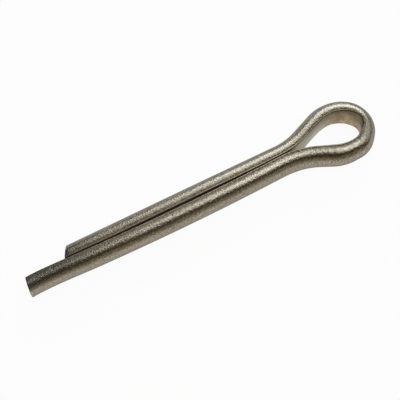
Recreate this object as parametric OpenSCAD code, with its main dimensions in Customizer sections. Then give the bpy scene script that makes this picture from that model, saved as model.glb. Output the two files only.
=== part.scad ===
// Cotter pin with one long leg, for a hole of about 6.3 mm.
//
// One length of half-round wire, bent over so that its flat side faces inwards.
// From the far end of the eye the bend opens out into two sides, runs down two
// straight flanks to the throat, turns back there, and goes on as two legs that
// lie flat to flat and make up the round shank. The legs are slightly sprung:
// each one bows a little away from the other half way along, and they all but
// touch again where the short leg ends. Both ends are sheared, the short one at
// a slant and the long one nearly square, and the shear has dragged the end of
// the long leg a little outwards.
//
// The pin lies flat with its eye towards +X and its long leg on the -Y side.

/* [Wire] */
// Height of the half-round wire, from one of its long edges to the other
wire_height = 5.4; // [5.2:0.1:7.5]
// Thickness of the wire from its flat side to the top of its crown
wire_thickness = 2.95; // [2:0.05:3.05]
// Radius of the two long edges, between the flat side and the crown
edge_radius = 0.35; // [0.25:0.05:1]

/* [Eye] */
// Radius inside the far end of the eye
eye_end_radius = 3.05; // [2.6:0.05:5]
// Half of the angle that the bend at the far end covers
eye_end_angle = 54; // [45:1:85]
// Radius inside the two sides of the eye
eye_side_radius = 5.6; // [4.5:0.05:9]
// Slope of the flank that runs down to the short leg
short_flank_angle = 23; // [16:0.5:32]
// Slope of the flank that runs down to the long leg
long_flank_angle = 27; // [16:0.5:31]

/* [Throat] */
// Radius of the bend into the short leg, on the flat side of the wire
short_throat_radius = 15.5; // [5:0.5:18]
// Radius of the bend into the long leg, on the flat side of the wire
long_throat_radius = 17; // [5:0.5:20]
// Gap between the two flat sides where they come closest at the throat
throat_gap = 0.16; // [0.06:0.02:0.5]

/* [Legs] */
// Length of the short leg, from the throat to its cut end
short_leg_length = 43.9; // [15:0.1:90]
// How much further the long leg reaches
long_leg_extra = 8.7; // [6:0.1:20]
// How far the short leg bows out half way along
short_leg_bow = 0.05; // [0.03:0.01:0.8]
// How far the long leg bows out half way along
long_leg_bow = 0.64; // [0.2:0.01:1.5]
// Gap between the two flat sides where the short leg ends
tip_gap = 0.04; // [0.02:0.02:0.5]

/* [Cut ends] */
// Slant of the short leg's cut, which leaves the flat side longer
short_cut_slant = 27; // [0:1:40]
// Slant of the long leg's cut, which leaves the crown longer
long_cut_slant = 8; // [0:1:40]
// Lean of both cuts, which leaves the underside longer
cut_lean = 2; // [0:0.5:12]
// How far the shear has dragged the long leg's end outwards
drag = 0.35; // [0.05:0.05:0.8]
// Length of the long leg's end that it has dragged
drag_length = 4; // [3:0.5:6]

/* [Hidden] */
steel = [0.62, 0.59, 0.54];
section_facets = 72;
bend_facets = 120;
leg_facets = 24;

// Neighbouring stretches of wire overlap by lap, and every other stretch stands
// proud all round, so that no two surfaces lie in each other where they meet.
// The edge arcs are a hair larger, so that they cross their neighbours cleanly.
lap = 0.05;
proud = 0.005;
hair = 0.001;

// Section of the wire: the crown is an arc that runs into both edge arcs.
edge_z = wire_height / 2 - edge_radius;
edge_inset = edge_radius - wire_thickness;
crown_radius = (edge_radius ^ 2 - edge_inset ^ 2 - edge_z ^ 2) / (2 * (edge_inset + edge_radius));
crown_x = wire_thickness - crown_radius;

// Angle that a length of wire covers on a bend of radius r.
function sweep(length, r) = length / r * 180 / PI;

// Centre of a side bend, which meets the end bend without a kink.
side_x = (eye_end_radius - eye_side_radius) * cos(eye_end_angle);
side_y = (eye_end_radius - eye_side_radius) * sin(eye_end_angle);

// Each half of the pin is laid out on its own in the upper half plane, with
// the centre of the end bend at the origin. f is the slope of its flank and r
// the radius of its throat bend.
function flank_start(f) = [side_x - eye_side_radius * sin(f), side_y + eye_side_radius * cos(f)];
function flank_drop(f, r) = flank_start(f)[1] - throat_gap / 2 - r * (1 - cos(f));
function flank_length(f, r) = flank_drop(f, r) / sin(f);
function throat_x(f, r) = flank_start(f)[0] - flank_length(f, r) * cos(f) - r * sin(f);

short_throat_x = throat_x(short_flank_angle, short_throat_radius);
long_throat_x = throat_x(long_flank_angle, long_throat_radius);
short_tip_x = short_throat_x - short_leg_length;
long_tip_x = short_tip_x - long_leg_extra;
long_leg_length = long_throat_x - long_tip_x;

// A leg is one long arc. It leaves the throat at a small angle to the axis, so
// that its flat side lies half the tip gap off the axis where the short leg
// ends, which is the share u of its own length. Set is how far the arc's end
// lies inside its start.
function leg_set(bow, u) = (throat_gap - tip_gap) / 2 / u + 4 * bow * (1 - u);
function leg_angle(length, bow, set) = atan((4 * bow - set) / length);
function leg_radius(length, bow) = length ^ 2 / (8 * bow);

short_leg_set = leg_set(short_leg_bow, 1);
long_leg_set = leg_set(long_leg_bow, (long_throat_x - short_tip_x) / long_leg_length);

// The dragged end of the long leg is an arc that turns outwards.
drag_radius = drag_length ^ 2 / (2 * drag);

// The cut of the long leg reaches a little past the middle of its end.
cut_slope = [tan(long_cut_slant), tan(cut_lean)];
long_tip_reach = cut_slope[0] * (crown_x - wire_thickness / 2) + norm(cut_slope) * crown_radius;
pin_front = eye_end_radius + wire_thickness;
pin_back = long_tip_x - long_tip_reach;

// Extra length on each leg that its cut takes off, and the size of the cutter.
cut_spare = wire_thickness + wire_height / 2;
cutter = 4 * wire_height;

// Half-round section with its flat side on the Y axis and its crown towards +X,
// grown all round by grow. The crown ends where each edge arc takes over, on a
// line from its own centre through the centre of that arc.
module wire_section(grow = 0) {
    edge = [edge_radius, edge_z];
    far = edge + 2 * crown_radius * (edge - [crown_x, 0]) / norm(edge - [crown_x, 0]);
    far_right = far + [wire_thickness, 0];
    upper = [far_right, far, edge, [-grow, edge_z]];
    lower = [for (i = [3:-1:0]) [upper[i][0], -upper[i][1]]];
    intersection() {
        translate([crown_x, 0]) circle(r = crown_radius + grow, $fn = section_facets);
        polygon(concat(upper, lower));
    }
    for (side = [-1, 1]) translate([edge_radius, side * edge_z])
        circle(r = edge_radius + grow + hair, $fn = section_facets);
}

// Wire bent round the Z axis with its flat side inwards, at radius r.
module bend_in(r, from, to, grow = 0, facets = bend_facets) {
    rotate_extrude(start = from, angle = to - from, $fn = facets)
        translate([r, 0]) wire_section(grow);
}

// Wire bent round the Z axis with its crown inwards and its flat at radius r.
module bend_out(r, from, to, grow = 0, facets = bend_facets) {
    rotate_extrude(start = from, angle = to - from, $fn = facets)
        translate([r, 0]) mirror([1, 0]) wire_section(grow);
}

// Straight wire along -X from the origin, with its crown towards +Y.
module straight(length) {
    rotate([-90, 0, 90]) linear_extrude(height = length) wire_section();
}

// Side bend, flank and throat bend of one half. What follows it starts where
// its leg starts, at leg_start to the axis.
module eye_half(f, r, leg_start) {
    side_lap = sweep(lap, eye_side_radius);
    throat_lap = sweep(lap, r);
    translate([side_x, side_y])
        bend_in(eye_side_radius, eye_end_angle - side_lap, 90 + f + side_lap, proud);
    translate(flank_start(f)) rotate(f) straight(flank_length(f, r));
    translate([throat_x(f, r), throat_gap / 2 + r]) {
        bend_out(r, -90 - leg_start - throat_lap, -90 + f + throat_lap, proud);
        rotate(-leg_start) translate([0, -r]) children();
    }
}

// Wire of a leg along -X from the origin, as one arc with its crown towards +Y.
// What follows it starts where it ends.
module leg_arc(r, length) {
    translate([0, -r]) {
        bend_in(r, 90, 90 + sweep(length, r), 0, leg_facets * 360 / sweep(length, r));
        rotate(sweep(length, r)) translate([0, r]) children();
    }
}

// Block beyond a cut end: it starts where the middle of the wire ends, where
// the flat side is at flat_y.
module beyond_cut(tip_x, flat_y, slant) {
    translate([tip_x, flat_y + wire_thickness / 2])
        rotate([0, cut_lean, -slant])
            translate([-cutter, -cutter / 2, -cutter / 2]) cube(cutter);
}

module short_half() {
    leg_start = leg_angle(short_leg_length, short_leg_bow, short_leg_set);
    difference() {
        eye_half(short_flank_angle, short_throat_radius, leg_start)
            leg_arc(leg_radius(short_leg_length, short_leg_bow), short_leg_length + cut_spare);
        beyond_cut(short_tip_x, throat_gap / 2 - short_leg_set, short_cut_slant);
    }
}

module long_half() {
    leg_start = leg_angle(long_leg_length, long_leg_bow, long_leg_set);
    drag_sweep = sweep(drag_length + cut_spare, drag_radius);
    difference() {
        eye_half(long_flank_angle, long_throat_radius, leg_start)
            leg_arc(leg_radius(long_leg_length, long_leg_bow), long_leg_length - drag_length)
                translate([0, drag_radius])
                    bend_out(drag_radius, -90 - drag_sweep, -90 + sweep(lap, drag_radius), proud);
        beyond_cut(long_tip_x, throat_gap / 2 - long_leg_set + drag, -long_cut_slant);
    }
}

module cotter_pin() {
    color(steel)
        translate([-(pin_front + pin_back) / 2, 0, wire_height / 2 + proud + hair]) {
            bend_in(eye_end_radius, -eye_end_angle, eye_end_angle);
            short_half();
            mirror([0, 1, 0]) long_half();
        }
}

cotter_pin();
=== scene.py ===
"""Cotter pin, bent from one length of half-round steel wire, on a plain white studio floor.

All sizes are in metres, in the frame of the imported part: the pin lies flat along X with its
eye towards +X, its short leg on the +Y side and its long leg on the -Y side.
"""

import logging
import math
from dataclasses import dataclass
from enum import Enum

import bpy
from mathutils import Matrix, Vector

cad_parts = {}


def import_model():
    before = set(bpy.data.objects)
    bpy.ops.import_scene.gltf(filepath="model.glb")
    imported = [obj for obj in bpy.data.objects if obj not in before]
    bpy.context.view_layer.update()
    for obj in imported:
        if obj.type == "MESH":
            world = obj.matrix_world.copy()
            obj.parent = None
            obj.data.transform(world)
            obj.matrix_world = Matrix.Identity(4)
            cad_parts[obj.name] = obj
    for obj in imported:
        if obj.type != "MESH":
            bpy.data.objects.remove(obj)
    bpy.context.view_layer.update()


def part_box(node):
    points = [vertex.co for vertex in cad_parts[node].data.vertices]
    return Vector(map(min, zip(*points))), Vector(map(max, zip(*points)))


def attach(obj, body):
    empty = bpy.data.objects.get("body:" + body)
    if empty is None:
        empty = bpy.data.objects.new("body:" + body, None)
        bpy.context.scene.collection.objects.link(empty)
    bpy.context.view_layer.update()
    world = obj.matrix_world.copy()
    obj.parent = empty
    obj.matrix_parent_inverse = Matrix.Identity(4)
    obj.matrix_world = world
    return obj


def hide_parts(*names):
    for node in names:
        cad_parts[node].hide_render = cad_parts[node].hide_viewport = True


LOG = logging.getLogger("cotter_pin")

MM = 0.001
NODE = "cotter_pin"
BODY = "root"

# Where the sheared steel stands among the piece's materials.
CUT_INDEX = 1

# Points that lie closer than this are one point.
TOUCHING = 0.001 * MM

# Attribute that holds where a point lies on the straight wire: its distance from the
# middle of the eye, its depth from the flat side, and its height.
WIRE_PLACE = "wire_place"

# Attribute that holds the angle from +X of the way from the flat side to the crown.
CROWN_ANGLE = "crown_angle"

Colour = tuple[float, float, float]

# Where something starts, and where it has fully taken over.
Span = tuple[float, float]


def direction(azimuth: float, elevation: float) -> Vector:
    """Finds the way that points at a place round the pin.

    Args:
        azimuth: Degrees from +X towards +Y.
        elevation: Degrees above the floor.

    Returns:
        The way, one unit long.
    """
    turn, rise = math.radians(azimuth), math.radians(elevation)
    flat = math.cos(rise)
    return Vector((math.cos(turn) * flat, math.sin(turn) * flat, math.sin(rise)))


def smooth_step(low: float, high: float, value: float) -> float:
    """Returns 0 below low, 1 above high, and a smooth ramp between them."""
    t = min(1.0, max(0.0, (value - low) / (high - low)))
    return t * t * (3 - 2 * t)


def opaque(colour: Colour) -> tuple[float, ...]:
    """Returns the colour with full alpha, as a colour socket takes it."""
    return (*colour, 1.0)


# ----------------------------------------------------------------------------- shader maths


class Signal:
    """Output of a shader node, on which Python's operators add Math nodes."""

    def __init__(self, graph: "Graph", socket: bpy.types.NodeSocket | None) -> None:
        """Wraps one output socket.

        Args:
            graph: Graph that the socket's node is in.
            socket: The output socket, or None for a node without one.
        """
        self.graph = graph
        self.socket = socket

    def __add__(self, other: "Value") -> "Signal":
        """Returns self + other."""
        return self.graph.maths("ADD", self, other)

    def __rsub__(self, other: "Value") -> "Signal":
        """Returns other - self."""
        return self.graph.maths("SUBTRACT", other, self)

    def __mul__(self, other: "Value") -> "Signal":
        """Returns self * other."""
        return self.graph.maths("MULTIPLY", self, other)

    def ramp(self, low: float, high: float) -> "Signal":
        """Ramps the signal smoothly.

        Args:
            low: Value at which the ramp is 0.
            high: Value at which the ramp is 1.

        Returns:
            The ramp.
        """
        settings = {"interpolation_type": "SMOOTHSTEP"}
        inputs = {"Value": self, "From Min": low, "From Max": high}
        return self.graph.node("ShaderNodeMapRange", settings, inputs)


Value = Signal | float | tuple[float, ...]


class Graph:
    """Node tree of a material or the world, built from nothing."""

    def __init__(self, owner: bpy.types.Material | bpy.types.World) -> None:
        """Empties the owner's node tree.

        Args:
            owner: Data block that the tree belongs to.
        """
        owner.use_nodes = True
        self.tree = owner.node_tree
        self.tree.nodes.clear()

    def node(
        self,
        kind: str,
        settings: dict[str, object] | None = None,
        inputs: dict[str | int, Value] | None = None,
        output: str | int = 0,
    ) -> Signal:
        """Adds a node.

        Args:
            kind: The node's type.
            settings: Properties of the node, which are set before its sockets.
            inputs: Value or link of each socket that is not left alone.
            output: The output that is wanted.

        Returns:
            The wanted output of the new node, which an output node doesn't have.
        """
        node = self.tree.nodes.new(kind)
        for name, setting in (settings or {}).items():
            setattr(node, name, setting)
        for name, value in (inputs or {}).items():
            if isinstance(value, Signal):
                self.tree.links.new(value.socket, node.inputs[name])
            else:
                node.inputs[name].default_value = value
        return Signal(self, node.outputs[output] if len(node.outputs) else None)

    def maths(self, operation: str, first: Value, second: Value) -> Signal:
        """Adds a Math node for two values and returns its result."""
        return self.node("ShaderNodeMath", {"operation": operation}, {0: first, 1: second})

    def scaled(self, vector: Signal, factors: tuple[float, float, float]) -> Signal:
        """Returns the vector with each part multiplied by its own factor."""
        settings = {"operation": "MULTIPLY"}
        return self.node("ShaderNodeVectorMath", settings, {0: vector, 1: factors})

    def attribute(self, name: str) -> Signal:
        """Returns a vector that the mesh's points carry."""
        settings = {"attribute_name": name}
        return self.node("ShaderNodeAttribute", settings, output="Vector")

    def parts(self, vector: Signal) -> tuple[Signal, Signal, Signal]:
        """Returns the X, Y and Z parts of a vector."""
        part = self.node("ShaderNodeSeparateXYZ", {}, {0: vector})
        return tuple(Signal(self, output) for output in part.socket.node.outputs)

    def noise(self, place: Signal, detail: float = 2.0, roughness: float = 0.5) -> Signal:
        """Returns noise about 0.5 whose grain is one unit of the place's scale."""
        inputs = {"Vector": place, "Scale": 1.0, "Detail": detail, "Roughness": roughness}
        return self.node("ShaderNodeTexNoise", {"noise_dimensions": "3D"}, inputs)

    def mixed(self, share: Value, first: Value, second: Value) -> Signal:
        """Returns the mix of two colours, for which the node has its sockets 6 and 7."""
        inputs = {0: share, 6: first, 7: second}
        return self.node("ShaderNodeMix", {"data_type": "RGBA"}, inputs, output=2)

    def bump(self, relief: Signal) -> Signal:
        """Returns the normal of a surface with a relief in metres."""
        inputs = {"Strength": 1.0, "Distance": 1.0, "Height": relief}
        return self.node("ShaderNodeBump", {}, inputs)

    def glow(self, colour: Colour) -> Signal:
        """Returns a surface that glows evenly, as bright as its colour."""
        inputs = {"Color": opaque(colour), "Strength": 1.0}
        return self.node("ShaderNodeEmission", {}, inputs)

    def finish(self, surface: Signal, owner: str = "Material") -> None:
        """Makes a surface the one that the material or the world shows."""
        self.node(f"ShaderNodeOutput{owner}", {}, {"Surface": surface})


# ----------------------------------------------------------------------------- finishes


@dataclass(frozen=True)
class SatinSteel:
    """Rumbled steel wire: a satin skin with a fine cross grain that dulls towards the tips. Its
    tone holds painted light on the skin that faces down, painted light and shade on the eye's flat
    side, and painted shade on the flat side's edges and on the tips' upper skin.
    """

    name: str = "satin_steel"
    light: Colour = (0.350, 0.325, 0.268)
    dark: Colour = (0.172, 0.154, 0.115)
    # The stain colour is also painted shade along the flat side's edges.
    stain_and_shade: Colour = (0.140, 0.119, 0.082)
    flat_side: Colour = (0.190, 0.140, 0.080)
    worn_side: Colour = (0.350, 0.270, 0.165)
    rubbed_side: Colour = (0.460, 0.410, 0.320)
    # Painted shade: tone that darkens the tips' upper skin.
    tip_shade: Colour = (0.110, 0.112, 0.112)
    glancing_tint: Colour = (0.57, 0.58, 0.58)

    # Painted light: gains that make the skin that faces sideways or down paler and warmer, as the
    # floor lights it, and painted light and shade on the eye's flat side, paler at its lower edge
    # and darker at its upper one.
    side_painted_light: Colour = (1.17, 1.10, 1.08)
    lower_painted_light: Colour = (1.65, 1.65, 1.65)
    upper_painted_shade: Colour = (0.52, 0.47, 0.38)

    # Sizes of the patterns. The grain is longer across the wire than along it, and the
    # marks are counted over the size of a cloud.
    grain: float = 0.24 * MM
    grain_width: float = 0.36 * MM
    speckle: float = 0.15 * MM
    cloud: float = 2.4 * MM
    marks_per_cloud: tuple[float, float, float] = (2.2, 0.9, 0.9)

    # Levels of each pattern between which it shows.
    grain_levels: Span = (0.30, 0.70)
    wear_levels: Span = (0.42, 0.70)
    mark_levels: Span = (0.56, 0.74)
    speckle_levels: Span = (0.60, 0.80)
    dull_levels: Span = (0.25, 0.75)

    # Zones in depth from the flat side, and in height from the middle of the wire.
    flat_depths: Span = (0.02 * MM, 0.30 * MM)
    edge_depths: Span = (0.10 * MM, 0.55 * MM)
    edge_heights: Span = (2.0 * MM, 2.5 * MM)
    top_heights: Span = (0.9 * MM, 2.1 * MM)
    # Heights over which the eye's flat side goes from painted light at its lower edge to painted
    # shade at its upper one.
    painted_light_heights: Span = (-2.4 * MM, 2.4 * MM)
    tip_heights: Span = (1.0 * MM, 2.3 * MM)

    # Zones along the wire, as distances from the middle of the eye. Past the bare zone no
    # other leg covers the flat side, and it looks as the crown does.
    rubbed_zone: Span = (6 * MM, 14 * MM)
    leg_zone: Span = (13 * MM, 18 * MM)
    bare_zone: Span = (62 * MM, 67 * MM)
    tip_zone: Span = (56 * MM, 74 * MM)
    dull_zone: Span = (8 * MM, 50 * MM)

    # Shares of the tone that the flat side, the stains with the painted shade along the edges, and
    # the painted shade on the tips take over.
    flat_share: float = 0.8
    mark_share: float = 0.35
    speckle_share: float = 0.30
    edge_shade_share: float = 0.45
    tip_shade_share: float = 0.5

    # Roughness of the cleanest skin, and what each zone and pattern adds to it.
    roughness: float = 0.065
    cloud_dulling: float = 0.07
    grain_dulling: float = 0.05
    away_dulling: float = 0.07
    flat_dulling: float = 0.18
    edge_dulling: float = 0.12

    # Relief of the patterns, and the share of the grain that the flat side lacks.
    grain_depth: float = 0.054 * MM
    speckle_depth: float = 0.012 * MM
    flat_smoothing: float = 0.8

    def material(self) -> bpy.types.Material:
        """Builds the finish.

        Returns:
            The material, which reads the place of each point on the straight wire.
        """
        material = bpy.data.materials.new(self.name)
        graph = Graph(material)
        place = graph.attribute(WIRE_PLACE)
        along, depth, height = graph.parts(place)
        far = graph.maths("ABSOLUTE", along, 0.0)
        high = graph.maths("ABSOLUTE", height, 0.0)

        across = 1 / self.grain_width
        grains = (1 / self.grain, across, across)
        clouds = (1 / self.cloud,) * 3
        marks = tuple(count / self.cloud for count in self.marks_per_cloud)
        grain = graph.noise(graph.scaled(place, grains), detail=3.0, roughness=0.6)
        speckle = graph.noise(graph.scaled(place, (1 / self.speckle,) * 3))
        cloud = graph.noise(graph.scaled(place, clouds), detail=3.0, roughness=0.55)
        mark = graph.noise(graph.scaled(place, marks), detail=4.0, roughness=0.6)

        flat = 1 - depth.ramp(*self.flat_depths)
        edge = (1 - depth.ramp(*self.edge_depths)) * high.ramp(*self.edge_heights)
        rubbed = far.ramp(*self.rubbed_zone)
        covered = 1 - far.ramp(*self.bare_zone)

        grained = grain.ramp(*self.grain_levels)
        tone = graph.mixed(grained, opaque(self.dark), opaque(self.light))
        # Painted light: skin that faces sideways or down is made paler and warmer, as the floor
        # lights it.
        turned = 1 - height.ramp(*self.top_heights)
        tone = graph.mixed(turned, tone, graph.scaled(tone, self.side_painted_light))
        side = self.flat_side_tone(graph, cloud.ramp(*self.wear_levels), rubbed, height)
        side = graph.mixed(far.ramp(*self.leg_zone), side, opaque(self.rubbed_side))
        tone = graph.mixed(flat * covered * self.flat_share, tone, side)

        marked = mark.ramp(*self.mark_levels) * self.mark_share
        speckled = speckle.ramp(*self.speckle_levels) * self.speckle_share
        # The stain colour covers real marks and speckles, and paints shade along the flat side's
        # edges past the middle of the eye.
        stains_and_shade = marked + speckled + edge * rubbed * self.edge_shade_share
        tone = graph.mixed(graph.maths("MINIMUM", stains_and_shade, 1.0), tone, opaque(self.stain_and_shade))
        # Painted shade: the tips' upper skin is darkened.
        shaded_tip = far.ramp(*self.tip_zone) * height.ramp(*self.tip_heights)
        tone = graph.mixed(shaded_tip * self.tip_shade_share, tone, opaque(self.tip_shade))

        dulled = cloud.ramp(*self.dull_levels) * self.cloud_dulling + grain * self.grain_dulling
        dulled = dulled + far.ramp(*self.dull_zone) * self.away_dulling
        dulled = dulled + flat * self.flat_dulling + edge * self.edge_dulling
        relief = grain * self.grain_depth * (1 - flat * self.flat_smoothing)
        relief = relief + speckle * self.speckle_depth
        inputs = {
            "Base Color": tone,
            "Metallic": 1.0,
            "Roughness": dulled + self.roughness,
            "Specular Tint": opaque(self.glancing_tint),
            "Normal": graph.bump(relief),
        }
        graph.finish(graph.node("ShaderNodeBsdfPrincipled", {}, inputs))
        return material

    def flat_side_tone(
        self, graph: Graph, worn: Signal, rubbed: Signal, height: Signal
    ) -> Signal:
        """Mixes the tone of the flat side inside the eye.

        Args:
            graph: Graph of the finish.
            worn: How much the brown skin is worn.
            rubbed: How much the other leg has rubbed it.
            height: Height above the middle of the wire.

        Returns:
            The tone, with painted light that makes it paler at the lower edge and painted shade
            that makes it darker at the upper one.
        """
        side = graph.mixed(worn, opaque(self.flat_side), opaque(self.worn_side))
        side = graph.mixed(rubbed, side, opaque(self.rubbed_side))
        # Painted light at the lower edge, painted shade at the upper one.
        lower = graph.scaled(side, self.lower_painted_light)
        upper = graph.scaled(side, self.upper_painted_shade)
        return graph.mixed(height.ramp(*self.painted_light_heights), lower, upper)


@dataclass(frozen=True)
class ShearedSteel:
    """Sheared end of the wire: a smooth bitten band, and torn grey metal beyond it."""

    name: str = "sheared_steel"
    smooth: Colour = (0.30, 0.28, 0.235)
    torn: Colour = (0.17, 0.155, 0.125)

    # Depth of the bitten band, width of the lines that the blade has drawn in it, and
    # how often each pattern changes over one of them.
    bitten: float = 1.1 * MM
    line: float = 0.05 * MM
    streaks_per_band: float = 0.5
    waves_per_band: float = 1.2
    pits_per_line: float = 3.0

    # Where the torn metal starts and has taken over, in depths of the bitten band.
    torn_depths: Span = (1.45, 1.7)

    # Relief of the lines and of the torn metal's pits.
    line_depth: float = 0.006 * MM
    pit_depth: float = 0.02 * MM

    # Roughness of the bitten band, and what the torn metal adds to it.
    roughness: float = 0.26
    torn_dulling: float = 0.22

    def material(self) -> bpy.types.Material:
        """Builds the finish.

        Returns:
            The material, which reads the place of each point on the straight wire.
        """
        material = bpy.data.materials.new(self.name)
        graph = Graph(material)
        place = graph.attribute(WIRE_PLACE)
        _, depth, _ = graph.parts(place)

        lines = (0.0, self.streaks_per_band / self.bitten, 1 / self.line)
        drawn = graph.noise(graph.scaled(place, lines))
        pits = (self.pits_per_line / self.line,) * 3
        pitted = graph.noise(graph.scaled(place, pits), detail=3.0, roughness=0.6)
        waves = (0.0, 0.0, self.waves_per_band / self.bitten)
        edge = graph.noise(graph.scaled(place, waves))

        start, end = (depths * self.bitten for depths in self.torn_depths)
        torn = (depth + edge * self.bitten).ramp(start, end)
        relief = drawn * self.line_depth * (1 - torn) + pitted * self.pit_depth * torn
        inputs = {
            "Base Color": graph.mixed(torn, opaque(self.smooth), opaque(self.torn)),
            "Metallic": 1.0,
            "Roughness": torn * self.torn_dulling + self.roughness,
            "Normal": graph.bump(relief),
        }
        graph.finish(graph.node("ShaderNodeBsdfPrincipled", {}, inputs))
        return material


# ----------------------------------------------------------------------------- the wire


class Side(Enum):
    """Leg of the pin, with the side of the X axis that it lies on."""

    SHORT = 1
    LONG = -1


class Skin(Enum):
    """Part of the wire's surface."""

    FLAT = "flat side"
    CROWN = "crown"


@dataclass(frozen=True)
class Pressing:
    """Stretch of wire where bending has pushed one skin in or out.

    Middle is a distance along the wire, which counts up on the short side and down on
    the long one. The push is at its full depth within hold of it and gone at reach.
    """

    skin: Skin
    middle: float
    hold: float
    reach: float
    push: float

    def offset(self, along: float, share: float) -> float:
        """Finds how far the wire moves at one place.

        Args:
            along: Distance along the wire.
            share: Depth from the flat side, as a share of the thickness.

        Returns:
            The move from the flat side towards the crown.
        """
        fade = 1 - smooth_step(self.hold, self.reach, abs(along - self.middle))
        return self.push * fade * (share if self.skin is Skin.CROWN else 1 - share)


@dataclass(frozen=True)
class WireSection:
    """Half-round section of the wire, from its flat side to the top of its crown.

    The steps are the numbers of stretches that its outline is drawn in.
    """

    height: float = 5.4 * MM
    thickness: float = 2.95 * MM
    edge_radius: float = 0.2 * MM
    flat_steps: int = 10
    edge_steps: int = 9
    crown_steps: int = 34

    @property
    def points(self) -> int:
        """Number of points round the section."""
        return self.flat_steps + 2 * self.edge_steps + self.crown_steps

    @property
    def edge_height(self) -> float:
        """Height of the edge arcs' centres above and below the middle."""
        return self.height / 2 - self.edge_radius

    @property
    def crown_radius(self) -> float:
        """Finds the radius at which the crown runs into both edge arcs.

        Returns:
            The crown's radius.
        """
        inset = self.edge_radius - self.thickness
        square = self.edge_radius**2 - inset**2 - self.edge_height**2
        return square / (2 * (inset + self.edge_radius))

    @property
    def crown_depth(self) -> float:
        """Depth of the crown's centre, measured from the flat side."""
        return self.thickness - self.crown_radius

    def draw(self, at: Vector) -> bpy.types.Object:
        """Draws the section as a closed ring, with its crown towards +X.

        Args:
            at: Middle of the flat side.

        Returns:
            The object, in edit mode, with the whole ring selected.
        """
        bpy.ops.mesh.primitive_plane_add(size=self.edge_radius, location=(0, 0, 0))
        blank = bpy.context.object
        bpy.ops.object.mode_set(mode="EDIT")
        bpy.ops.mesh.select_mode(type="VERT")
        bpy.ops.mesh.select_all(action="SELECT")
        bpy.ops.mesh.merge(type="CENTER")
        bpy.ops.mesh.select_all(action="SELECT")
        bpy.ops.transform.translate(value=at - Vector((0, 0, self.edge_height)))
        for _ in range(self.flat_steps):
            rise = (0, 0, 2 * self.edge_height / self.flat_steps)
            bpy.ops.mesh.extrude_region_move(TRANSFORM_OT_translate={"value": rise})
        crown_half = math.atan2(self.edge_height, self.edge_radius - self.crown_depth)
        arcs = (
            (self.edge_radius, self.edge_height, math.pi - crown_half, self.edge_steps),
            (self.crown_depth, 0.0, 2 * crown_half, self.crown_steps),
            (self.edge_radius, -self.edge_height, math.pi - crown_half, self.edge_steps),
        )
        for depth, height, angle, steps in arcs:
            centre = at + Vector((depth, 0, height))
            bpy.ops.mesh.spin(steps=steps, angle=-angle, center=centre, axis=(0, 1, 0))
        bpy.ops.mesh.select_all(action="SELECT")
        bpy.ops.mesh.remove_doubles(threshold=TOUCHING)
        bpy.ops.mesh.select_all(action="SELECT")
        return blank


@dataclass
class WireFormer:
    """Forming tool that lays wire behind an open end, which is a ring of selected points.

    At is the middle of the open end's flat side, heading the angle from +X at which the
    wire runs on, along its length so far, and pitch the distance between two rings.
    """

    blank: bpy.types.Object
    section: WireSection
    side: Side
    at: Vector
    heading: float
    along: float = 0.0
    pitch: float = 0.45 * MM

    @property
    def crown_way(self) -> Vector:
        """Direction from the flat side to the crown at the open end."""
        angle = self.heading - self.side.value * math.pi / 2
        return Vector((math.cos(angle), math.sin(angle), 0))

    def _mark(self, steps: int, length: float, turn: float = 0.0) -> None:
        """Writes the place and the angle of the rings that were laid last.

        Args:
            steps: Number of new rings.
            length: Length of wire that they cover.
            turn: Angle that they turn through.
        """
        bpy.ops.object.mode_set(mode="OBJECT")
        places = self.blank.data.attributes[WIRE_PLACE].data
        angles = self.blank.data.attributes[CROWN_ANGLE].data
        last = self.heading - self.side.value * math.pi / 2
        first = len(places) - steps * self.section.points
        for index in range(steps * self.section.points):
            done = (index // self.section.points + 1) / steps
            places[first + index].vector.x = self.side.value * (self.along + length * done)
            angles[first + index].value = last - turn * (1 - done)
        self.along += length
        bpy.ops.object.mode_set(mode="EDIT")

    def straight(self, length: float) -> None:
        """Lays straight wire.

        Args:
            length: Length of wire to lay.
        """
        steps = math.ceil(length / self.pitch)
        way = Vector((math.cos(self.heading), math.sin(self.heading), 0))
        for _ in range(steps):
            move = {"value": way * (length / steps)}
            bpy.ops.mesh.extrude_region_move(TRANSFORM_OT_translate=move)
        self.at = self.at + way * length
        self._mark(steps, length)

    def bend(self, radius: float, angle: float, inwards: bool, steps: int = 0) -> Vector:
        """Lays bent wire.

        Args:
            radius: Radius of the flat side.
            angle: Angle that the bend covers.
            inwards: Whether the flat side is on the inside of the bend.
            steps: Number of rings, or 0 for rings a pitch apart.

        Returns:
            Centre of the bend.
        """
        way = 1 if inwards else -1
        centre = self.at - way * radius * self.crown_way
        length = angle * (radius + way * self.section.thickness / 2)
        steps = steps or math.ceil(length / self.pitch)
        turn = way * self.side.value * angle
        bpy.ops.mesh.spin(steps=steps, angle=-turn, center=centre, axis=(0, 0, 1))
        self.at = centre + Matrix.Rotation(turn, 3, "Z") @ (self.at - centre)
        self.heading += turn
        self._mark(steps, length, turn)
        return centre


@dataclass(frozen=True)
class Leg:
    """One side of the pin: its flank, its bend at the throat, its leg and its cut end.

    Lengths are laid along X from the end of the throat bend. A leg is one long arc,
    which bow and inset describe: how far it bulges out, and how far its end lies inside
    its start. Drag is how far the shear has pulled its last stretch outwards.
    """

    side: Side
    flank_angle: float
    throat_radius: float
    length: float
    bow: float
    inset: float
    cut_slant: float
    drag: float = 0.0
    drag_length: float = 0.0

    @property
    def start_angle(self) -> float:
        """Angle to the axis at which the leg leaves the throat."""
        return math.atan((4 * self.bow - self.inset) / self.length)

    @property
    def arc_radius(self) -> float:
        """Radius of the leg's flat side."""
        return self.length**2 / (8 * self.bow)


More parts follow.
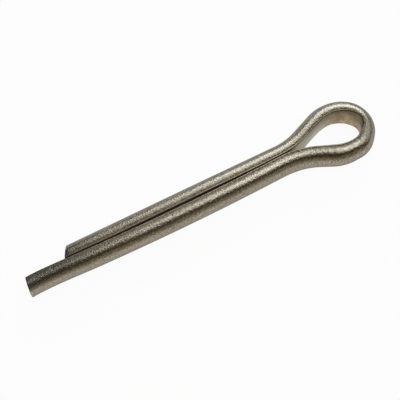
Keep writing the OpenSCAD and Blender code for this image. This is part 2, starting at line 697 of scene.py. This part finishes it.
@dataclass
class CotterPin:
    """The pin: an eye and two legs, bent from one length of half-round wire.

    The cut ends lean by cut_lean, their rims are rounded by cut_rounding in rim_steps,
    and the wire goes on past each cut by cut_spare before it is sheared off.
    """

    section: WireSection = WireSection()
    finish: SatinSteel = SatinSteel()
    cut_finish: ShearedSteel = ShearedSteel()
    eye_x: float = 30.377 * MM
    eye_end_radius: float = 3.05 * MM
    eye_end_angle: float = math.radians(54)
    eye_side_radius: float = 5.6 * MM
    throat_gap: float = 0.16 * MM
    cut_lean: float = math.radians(2)
    cut_rounding: float = 0.09 * MM
    cut_spare: float = 0.35 * MM
    cut_threshold: float = 0.0001 * MM
    rim_steps: int = 3
    crease_angle: float = math.radians(35)
    short: Leg = Leg(
        side=Side.SHORT,
        flank_angle=math.radians(23),
        throat_radius=15.5 * MM,
        length=44.0 * MM,
        bow=0.05 * MM,
        inset=0.06 * MM,
        cut_slant=math.radians(24),
    )
    long: Leg = Leg(
        side=Side.LONG,
        flank_angle=math.radians(27),
        throat_radius=17 * MM,
        length=52.8265 * MM,
        bow=0.64 * MM,
        inset=0.4934 * MM,
        cut_slant=math.radians(-8),
        drag=0.35 * MM,
        drag_length=4.6 * MM,
    )
    pressings: tuple[Pressing, ...] = (
        Pressing(Skin.FLAT, middle=-0.6 * MM, hold=0.3 * MM, reach=3.2 * MM, push=0.36 * MM),
        Pressing(Skin.FLAT, middle=7.5 * MM, hold=2.5 * MM, reach=5.8 * MM, push=-0.14 * MM),
        Pressing(Skin.FLAT, middle=-10.2 * MM, hold=1.0 * MM, reach=5.0 * MM, push=-0.24 * MM),
        Pressing(Skin.FLAT, middle=0.0, hold=7.0 * MM, reach=11.0 * MM, push=0.09 * MM),
        Pressing(Skin.CROWN, middle=-17.0 * MM, hold=3.0 * MM, reach=7.0 * MM, push=0.06 * MM),
        Pressing(Skin.CROWN, middle=-40.0 * MM, hold=20.0 * MM, reach=31.0 * MM, push=0.06 * MM),
        Pressing(Skin.CROWN, middle=-75.0 * MM, hold=2.0 * MM, reach=8.0 * MM, push=0.12 * MM),
        Pressing(Skin.FLAT, middle=-75.0 * MM, hold=2.0 * MM, reach=8.0 * MM, push=0.12 * MM),
        Pressing(Skin.CROWN, middle=-5.7 * MM, hold=0.4 * MM, reach=2.5 * MM, push=0.24 * MM),
        Pressing(Skin.CROWN, middle=4.8 * MM, hold=0.8 * MM, reach=3.6 * MM, push=0.11 * MM),
        Pressing(Skin.CROWN, middle=0.0, hold=0.6 * MM, reach=1.6 * MM, push=-0.02 * MM),
        Pressing(Skin.FLAT, middle=42 * MM, hold=14 * MM, reach=22 * MM, push=-0.20 * MM),
    )

    @property
    def eye(self) -> Vector:
        """Centre of the bend at the eye's far end."""
        lo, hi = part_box(NODE)
        return Vector((self.eye_x, 0, (lo.z + hi.z) / 2))

    @property
    def start(self) -> Vector:
        """Middle of the flat side at the eye's far end, from which both sides are laid."""
        return self.eye + Vector((self.eye_end_radius, 0, 0))

    def flank_length(self, leg: Leg) -> float:
        """Finds the length of the straight flank between the eye and the throat.

        Args:
            leg: The side that the flank is on.

        Returns:
            The flank's length.
        """
        side_y = (self.eye_end_radius - self.eye_side_radius) * math.sin(self.eye_end_angle)
        start_y = side_y + self.eye_side_radius * math.cos(leg.flank_angle)
        throat_drop = leg.throat_radius * (1 - math.cos(leg.flank_angle))
        return (start_y - self.throat_gap / 2 - throat_drop) / math.sin(leg.flank_angle)

    def cut_reach(self, leg: Leg) -> float:
        """Returns how far a leg's cut reaches to each side of the end of its middle."""
        slanted = math.tan(abs(leg.cut_slant)) * self.section.thickness / 2
        return slanted + math.tan(self.cut_lean) * self.section.height / 2 + self.cut_spare

    def lay(self, blank: bpy.types.Object, leg: Leg) -> None:
        """Lays one side of the pin from the middle of the eye to its cut end.

        Args:
            blank: Object in edit mode, with the ring at the middle of the eye selected.
            leg: The side to lay.
        """
        heading = leg.side.value * math.pi / 2
        former = WireFormer(blank, self.section, leg.side, self.start, heading)
        former.bend(self.eye_end_radius, self.eye_end_angle, inwards=True)
        side_angle = math.pi / 2 + leg.flank_angle - self.eye_end_angle
        former.bend(self.eye_side_radius, side_angle, inwards=True)
        former.straight(self.flank_length(leg))
        throat_angle = leg.flank_angle + leg.start_angle
        throat = former.bend(leg.throat_radius, throat_angle, inwards=False)
        body = leg.length - leg.drag_length
        spare = self.cut_reach(leg)
        if leg.drag:
            former.bend(leg.arc_radius, body / leg.arc_radius, inwards=True)
            radius = leg.drag_length**2 / (2 * leg.drag)
            whole = leg.drag_length + spare
            kept = leg.drag_length - spare
            former.bend(radius, kept / radius, inwards=False)
            former.bend(radius, (whole - kept) / radius, inwards=False, steps=1)
        else:
            kept = body - spare
            former.bend(leg.arc_radius, kept / leg.arc_radius, inwards=True)
            former.bend(leg.arc_radius, 2 * spare / leg.arc_radius, inwards=True, steps=1)
        self.shear(leg, throat.x - leg.length)

    def shear(self, leg: Leg, tip_x: float) -> None:
        """Cuts a leg's end off along its slanted plane, closes it and rounds its rim.

        Args:
            leg: The side whose wire was laid last.
            tip_x: Where the middle of the wire ends.
        """
        flat_y = self.throat_gap / 2 - leg.inset + leg.drag
        outwards = Matrix.Rotation(-leg.cut_slant, 3, "Z") @ Vector(
            (-math.cos(self.cut_lean), 0, math.sin(self.cut_lean))
        )
        point = Vector((tip_x, leg.side.value * (flat_y + self.section.thickness / 2), self.eye.z))
        outwards.y *= leg.side.value
        bpy.ops.mesh.select_all(action="SELECT")
        bpy.ops.mesh.bisect(
            plane_co=point,
            plane_no=outwards,
            use_fill=True,
            clear_outer=True,
            threshold=self.cut_threshold,
        )
        bpy.ops.mesh.select_mode(type="FACE")
        bpy.context.object.active_material_index = CUT_INDEX
        bpy.ops.object.material_slot_assign()
        bpy.ops.mesh.select_mode(type="EDGE")
        bpy.ops.mesh.region_to_loop()
        bpy.ops.mesh.bevel(offset=self.cut_rounding, segments=self.rim_steps, affect="EDGES")
        bpy.ops.mesh.select_mode(type="VERT")

    def build(self) -> bpy.types.Object:
        """Bends the wire into the pin.

        Returns:
            The finished piece.
        """
        bpy.ops.object.select_all(action="DESELECT")
        blank = self.section.draw(self.start)
        bpy.ops.object.mode_set(mode="OBJECT")
        places = blank.data.attributes.new(WIRE_PLACE, "FLOAT_VECTOR", "POINT").data
        for point, place in zip(blank.data.vertices, places):
            offset = point.co - self.start
            place.vector = (0, offset.x, offset.z)
        blank.data.attributes.new(CROWN_ANGLE, "FLOAT", "POINT")
        for finish in (self.finish, self.cut_finish):
            blank.data.materials.append(finish.material())
        bpy.ops.object.mode_set(mode="EDIT")
        self.lay(blank, self.short)
        self.select_eye_ring(blank)
        self.lay(blank, self.long)
        bpy.ops.mesh.select_all(action="SELECT")
        bpy.ops.mesh.remove_doubles(threshold=TOUCHING)
        bpy.ops.mesh.normals_make_consistent(inside=False)
        bpy.ops.object.mode_set(mode="OBJECT")
        bpy.ops.object.select_all(action="DESELECT")
        blank.select_set(True)
        bpy.context.view_layer.objects.active = blank
        self.press(blank)
        bpy.ops.object.shade_smooth_by_angle(angle=self.crease_angle)
        blank.name = "pin"
        blank.data.name = "pin"
        return blank

    def select_eye_ring(self, blank: bpy.types.Object) -> None:
        """Selects only the ring at the middle of the eye.

        Args:
            blank: The half-laid pin, in edit mode.
        """
        bpy.ops.mesh.select_mode(type="VERT")
        bpy.ops.mesh.select_all(action="DESELECT")
        bpy.ops.object.mode_set(mode="OBJECT")
        for point in blank.data.vertices:
            point.select = abs(point.co.y) < TOUCHING and point.co.x > self.eye.x
        bpy.ops.object.mode_set(mode="EDIT")

    def press(self, blank: bpy.types.Object) -> None:
        """Pushes the skins in and out where the bending has, with one modifier a way.

        Args:
            blank: The closed pin, which is the only selected object.
        """
        places = blank.data.attributes[WIRE_PLACE].data
        angles = blank.data.attributes[CROWN_ANGLE].data
        moves = []
        for place, angle in zip(places, angles):
            along, depth, _ = place.vector
            share = depth / self.section.thickness
            push = sum(pressing.offset(along, share) for pressing in self.pressings)
            moves.append((push * math.cos(angle.value), push * math.sin(angle.value)))
        limit = sum(abs(pressing.push) for pressing in self.pressings)
        for axis, sign in ((0, 1), (0, -1), (1, 1), (1, -1)):
            group = blank.vertex_groups.new(name=f"press_{axis}_{sign}")
            for index, move in enumerate(moves):
                if sign * move[axis] > 0:
                    group.add([index], sign * move[axis] / limit, "REPLACE")
            modifier = blank.modifiers.new(group.name, "DISPLACE")
            modifier.direction = "XY"[axis]
            modifier.vertex_group = group.name
            modifier.mid_level = 0.0
            modifier.strength = sign * limit
            bpy.ops.object.modifier_apply(modifier=modifier.name)
        bpy.ops.object.vertex_group_remove(all=True)

    def dress(self, piece: bpy.types.Object) -> None:
        """Gives the piece its place in the part.

        Args:
            piece: The finished pin.
        """
        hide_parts(NODE)
        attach(piece, BODY)


# ----------------------------------------------------------------------------- the studio


@dataclass(frozen=True)
class Camera:
    """Camera above the pin, a little towards its tips, turned on its own axis.

    Angles are in degrees, and its place is given by the way to it from its target.
    """

    target: tuple[float, float, float] = (-0.954 * MM, -0.089 * MM, 2.706 * MM)
    azimuth: float = -110.7075
    elevation: float = 66.955
    distance: float = 141.385 * MM
    roll: float = -6.366
    lens: float = 67.478
    sensor_width: float = 36.0
    nearest: float = 1 * MM
    farthest: float = 20.0

    def build(self) -> bpy.types.Object:
        """Sets the camera up and makes it the scene's own.

        Returns:
            The camera.
        """
        data = bpy.data.cameras.new("camera")
        data.lens = self.lens
        data.sensor_width = self.sensor_width
        data.clip_start, data.clip_end = self.nearest, self.farthest
        camera = bpy.data.objects.new("camera", data)
        bpy.context.scene.collection.objects.link(camera)
        back = direction(self.azimuth, self.elevation)
        roll = Matrix.Rotation(math.radians(self.roll), 3, "Z")
        turned = (-back).to_track_quat("-Z", "Y").to_matrix() @ roll
        place = Matrix.Translation(Vector(self.target) + back * self.distance)
        camera.matrix_world = place @ turned.to_4x4()
        bpy.context.scene.camera = camera
        return camera


class Tint(Enum):
    """Colour of a lamp's light, which is near white."""

    WARM = (1.01, 1.0, 0.95)
    PLAIN = (0.975, 1.0, 1.04)
    COOL = (0.94, 1.0, 1.09)


@dataclass(frozen=True)
class SoftBox:
    """Lamp behind a flat diffuser, aimed at the middle of the pin.

    At is its azimuth and elevation, and spread the width and height that it covers as
    the pin sees it, all in degrees.
    """

    name: str
    at: tuple[float, float]
    spread: tuple[float, float]
    level: float
    tint: Tint = Tint.PLAIN
    distance: float = 0.6

    def build(self) -> bpy.types.Object:
        """Hangs the lamp.

        Returns:
            The lamp, whose face glows as bright as a surface of its level.
        """
        data = bpy.data.lights.new(self.name, "AREA")
        data.shape = "RECTANGLE"
        data.size, data.size_y = (
            2 * self.distance * math.tan(math.radians(angle) / 2) for angle in self.spread
        )
        data.energy = self.level * data.size * data.size_y * math.pi
        data.color = self.tint.value
        lamp = bpy.data.objects.new(self.name, data)
        bpy.context.scene.collection.objects.link(lamp)
        way = direction(*self.at)
        turn = way.to_track_quat("Z", "Y").to_matrix().to_4x4()
        lamp.matrix_world = Matrix.Translation(way * self.distance) @ turn
        lamp.visible_camera = False
        return lamp


@dataclass(frozen=True)
class DarkCard:
    """Card that glows dimly beside the pin and shows only in the steel's reflections: a painted
    reflection that gives the steel its dark edge.

    Azimuth, width and height are in degrees, as the pin sees them.
    """

    name: str = "dark_card"
    azimuth: float = -88.0
    width: float = 96.0
    height: float = 26.0
    distance: float = 0.35
    tone: Colour = (0.48, 0.43, 0.32)

    def build(self) -> bpy.types.Object:
        """Stands the card on the floor, out of the camera's view.

        Returns:
            The card.
        """
        bpy.ops.object.select_all(action="DESELECT")
        # The plane reaches 1 to each side, so that it is resized by half of each size.
        bpy.ops.mesh.primitive_plane_add(size=2.0, location=(0, 0, 0))
        card = bpy.context.object
        card.name = self.name
        half = self.distance * math.tan(math.radians(self.width) / 2)
        top = self.distance * math.tan(math.radians(self.height))
        bpy.ops.object.mode_set(mode="EDIT")
        bpy.ops.mesh.select_all(action="SELECT")
        bpy.ops.transform.resize(value=(top / 2, half, 1.0))
        bpy.ops.object.mode_set(mode="OBJECT")
        way = direction(self.azimuth, 0.0)
        place = Matrix.Translation(way * self.distance + Vector((0, 0, top / 2)))
        face = Matrix((way, Vector((-way.y, way.x, 0)), (0, 0, 1))).transposed()
        upright = Matrix.Rotation(math.pi / 2, 4, "Y")
        card.data.transform(place @ face.to_4x4() @ upright)
        material = bpy.data.materials.new(self.name)
        graph = Graph(material)
        graph.finish(graph.glow(self.tone))
        card.data.materials.append(material)
        card.visible_camera = False
        card.visible_shadow = False
        card.visible_diffuse = False
        return card


@dataclass(frozen=True)
class PaleFloor:
    """White studio floor that keeps a faint shadow under the pin."""

    name: str = "floor"
    size: float = 12.0
    paper: Colour = (0.80, 0.80, 0.80)
    white: Colour = (1.0, 1.0, 1.0)
    shadow_share: float = 0.05

    def build(self) -> bpy.types.Object:
        """Lays the floor under the pin.

        Returns:
            The floor.
        """
        bpy.ops.object.select_all(action="DESELECT")
        bpy.ops.mesh.primitive_plane_add(size=self.size, location=(0, 0, 0))
        floor = bpy.context.object
        floor.name = self.name
        material = bpy.data.materials.new(self.name)
        graph = Graph(material)
        paths = [
            graph.node("ShaderNodeLightPath", {}, output=f"Is {way} Ray")
            for way in ("Camera", "Glossy", "Transmission")
        ]
        seen = graph.maths("MINIMUM", paths[0] + paths[1] + paths[2], 1.0)
        paper = graph.node("ShaderNodeBsdfDiffuse", {}, {"Color": opaque(self.paper)})
        share = seen * (1 - self.shadow_share)
        inputs = {0: share, 1: paper, 2: graph.glow(self.white)}
        graph.finish(graph.node("ShaderNodeMixShader", {}, inputs))
        floor.data.materials.append(material)
        return floor


@dataclass(frozen=True)
class Room:
    """Plain room round the studio: pale at the height of the floor and darker above.

    Rise is the sine of the elevation at which the horizon ends and the upper part starts.
    """

    horizon: Colour = (0.43, 0.40, 0.33)
    upper: Colour = (0.138, 0.112, 0.071)
    rise: Span = (0.02, 0.16)

    def build(self) -> bpy.types.World:
        """Sets the room up as the scene's world.

        Returns:
            The world.
        """
        world = bpy.data.worlds.new("room")
        bpy.context.scene.world = world
        graph = Graph(world)
        place = graph.node("ShaderNodeTexCoord", {}, output="Generated")
        _, _, up = graph.parts(place)
        tone = graph.mixed(up.ramp(*self.rise), opaque(self.horizon), opaque(self.upper))
        light = graph.node("ShaderNodeBackground", {}, {"Color": tone, "Strength": 1.0})
        graph.finish(light, "World")
        return world


@dataclass(frozen=True)
class Studio:
    """Floor, room, lamps and card round the pin."""

    floor: PaleFloor = PaleFloor()
    room: Room = Room()
    card: DarkCard = DarkCard()
    lamps: tuple[SoftBox, ...] = (
        SoftBox("near_lamp", at=(-35, 56), spread=(24, 14), level=2.35),
        SoftBox("high_lamp", at=(-42, 68), spread=(34, 22), level=1.6),
        SoftBox("high_inner_lamp", at=(-45, 66), spread=(14, 10), level=2.2),
        SoftBox("near_top_lamp", at=(-70, 78), spread=(24, 12), level=1.0),
        SoftBox("end_lamp", at=(-8, 34), spread=(44, 40), level=0.9),
        SoftBox("far_low_lamp", at=(54, 13), spread=(20, 16), level=2.6, tint=Tint.COOL),
        SoftBox("far_lamp", at=(54, 28), spread=(20, 14), level=3.7, tint=Tint.COOL),
        SoftBox("far_left_lamp", at=(36, 22), spread=(20, 16), level=4.8),
        SoftBox("far_left_wide_lamp", at=(22, 32), spread=(16, 24), level=0.8),
        SoftBox("far_right_low_lamp", at=(74, 20), spread=(20, 16), level=3.4, tint=Tint.COOL),
        SoftBox("far_right_lamp", at=(74, 38), spread=(30, 24), level=1.75, tint=Tint.WARM),
        SoftBox("top_lamp", at=(40, 78), spread=(40, 16), level=0.9, tint=Tint.WARM),
    )

    def build(self) -> None:
        """Sets the studio up."""
        self.room.build()
        self.floor.build()
        self.card.build()
        for lamp in self.lamps:
            lamp.build()


def main() -> None:
    """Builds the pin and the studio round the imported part."""
    logging.basicConfig(level=logging.INFO, format="%(name)s: %(message)s")
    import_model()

    pin = CotterPin()
    piece = pin.build()
    pin.dress(piece)
    LOG.info("pin: %d faces", len(piece.data.polygons))

    Camera().build()
    Studio().build()
    bpy.context.scene.view_settings.view_transform = "Standard"


if __name__ == "__main__":
    main()
